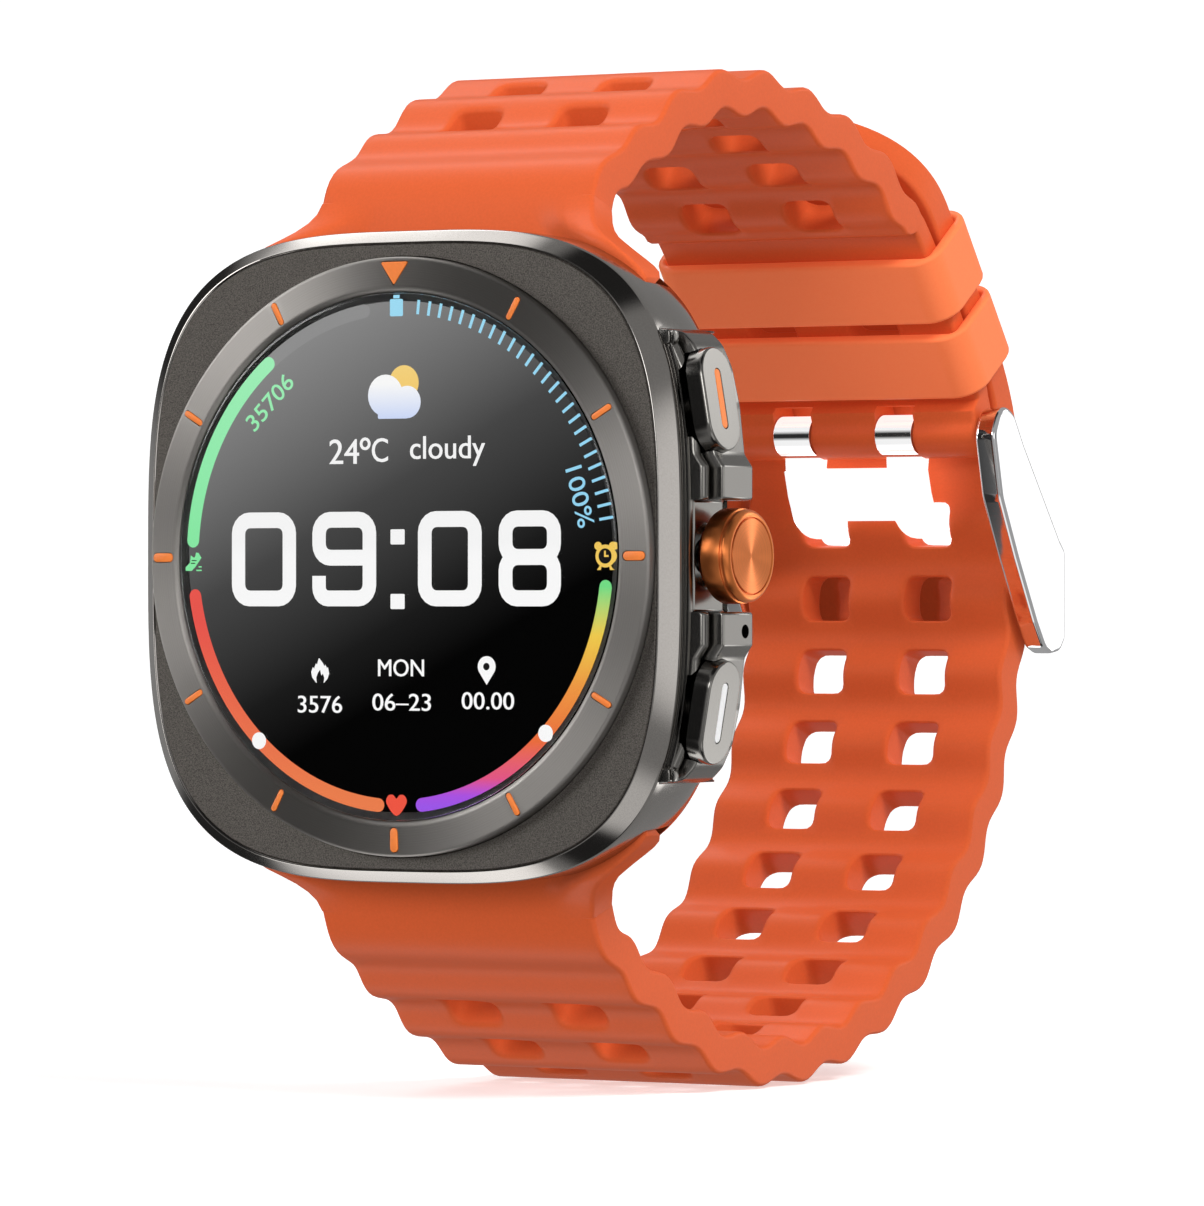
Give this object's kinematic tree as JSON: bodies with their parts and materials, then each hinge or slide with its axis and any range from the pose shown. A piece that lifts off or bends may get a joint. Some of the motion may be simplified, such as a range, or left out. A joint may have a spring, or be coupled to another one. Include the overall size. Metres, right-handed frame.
{
  "type": "running watch",
  "caption": "Running watch with a squircle metal case, round display, side crown and buttons, and a wavy holed rubber strap closed by a metal buckle.",
  "frame": {"origin": "middle of the flat outer face of the rear sensor window, which rests on the wrist", "axes": "+Y out of the rear face towards the wrist (the display looks to -Y), +Z towards twelve o'clock, +X towards the crown"},
  "size_m": [0.0503, 0.0759, 0.0767],
  "materials": {
    "case_metal": "satin dark metal with a polished chamfer",
    "blasted_metal": "bead blasted dark metal",
    "brushed_ring": "circular brushed dark metal",
    "marker_orange": "orange lacquer",
    "inlay_white": "white lacquer",
    "cover_glass": "polished glass",
    "display_black": "display panel",
    "black_seal": "black rubber",
    "red_seal": "silicone seal",
    "inner_plastic": "moulded plastic",
    "circuit_board": "solder mask",
    "battery_foil": "foil pouch",
    "steel": "turned steel",
    "polished_steel": "mirror polished",
    "rear_plastic": "moulded plastic with fine grain",
    "sensor_glass": "dark polished window",
    "gold_contact": "gold plated",
    "crown_orange": "orange anodised metal, spun face",
    "strap_rubber": "smooth orange silicone rubber"
  },
  "bodies": {
    "case": {"case_body": "case_metal", "front_plate": "blasted_metal", "bezel_ring": "brushed_ring", "bezel_markers": "marker_orange", "cover_glass": "cover_glass", "display_module": "display_black", "display_gasket": "black_seal", "inner_frame": "inner_plastic", "main_board": "circuit_board", "battery": "battery_foil", "haptic_motor": "steel", "speaker": "inner_plastic", "microphone": "steel", "rear_cover": "rear_plastic", "rear_gasket": "red_seal", "rear_screws": "steel", "sensor_window": "sensor_glass", "sensor_module": "circuit_board", "charging_contacts": "gold_contact", "side_guard": "case_metal", "crown_tube": "steel", "crown_switch": "inner_plastic", "upper_button_switch": "inner_plastic", "lower_button_switch": "inner_plastic", "strap_upper": "strap_rubber", "strap_lower": "strap_rubber", "upper_lug": "steel", "lower_lug": "steel", "upper_lug_pin": "steel", "lower_lug_pin": "steel", "fixed_keeper": "strap_rubber", "buckle_spring_bar": "polished_steel"},
    "crown_carrier": {"crown_plunger": "steel"},
    "crown": {"crown_cap": "crown_orange", "crown_disc": "crown_orange", "crown_stem": "steel", "crown_seal": "black_seal"},
    "upper_pusher": {"upper_button": "case_metal", "upper_button_inlay": "marker_orange", "upper_button_seal": "black_seal", "upper_button_clip": "steel"},
    "lower_pusher": {"lower_button": "case_metal", "lower_button_inlay": "inlay_white", "lower_button_seal": "black_seal", "lower_button_clip": "steel"},
    "upper_release": {"upper_release_button": "case_metal"},
    "lower_release": {"lower_release_button": "case_metal"},
    "free_keeper": {"free_keeper": "strap_rubber"},
    "buckle": {"buckle_frame": "polished_steel"},
    "tang": {"buckle_tang": "polished_steel"}
  },
  "joints": [
    {"name": "crown_press", "type": "slide", "parent": "case", "child": "crown_carrier", "axis": [-1, 0, 0], "range_m": [0, 0.0004], "stiffness_N_per_m": 1500, "springref_m": -0.0005},
    {"name": "crown_turn", "type": "hinge", "parent": "crown_carrier", "child": "crown", "pos_m": [0.0245, -0.0077, 0], "axis": [1, 0, 0], "continuous": true},
    {"name": "upper_button_press", "type": "slide", "parent": "case", "child": "upper_pusher", "axis": [-0.9848, 0, -0.1736], "range_m": [0, 0.0005], "stiffness_N_per_m": 1500, "springref_m": -0.0005},
    {"name": "lower_button_press", "type": "slide", "parent": "case", "child": "lower_pusher", "axis": [-0.9848, 0, 0.1736], "range_m": [0, 0.0005], "stiffness_N_per_m": 1500, "springref_m": -0.0005},
    {"name": "upper_release_press", "type": "slide", "parent": "case", "child": "upper_release", "axis": [0, -1, 0], "range_m": [0, 0.0006], "stiffness_N_per_m": 1500, "springref_m": -0.0005},
    {"name": "lower_release_press", "type": "slide", "parent": "case", "child": "lower_release", "axis": [0, -1, 0], "range_m": [0, 0.0006], "stiffness_N_per_m": 1500, "springref_m": -0.0005},
    {"name": "free_keeper_slide", "type": "slide", "parent": "case", "child": "free_keeper", "axis": [0, -0.5878, 0.809], "range_m": [-0.0012, 0.001]},
    {"name": "buckle_swing", "type": "hinge", "parent": "case", "child": "buckle", "pos_m": [0, 0.0518, 0.01], "axis": [1, 0, 0], "range_deg": [0, 4]},
    {"name": "tang_lift", "type": "hinge", "parent": "buckle", "child": "tang", "pos_m": [0, 0.0518, 0.01], "axis": [1, 0, 0], "range_deg": [0, 3]}
  ]
}
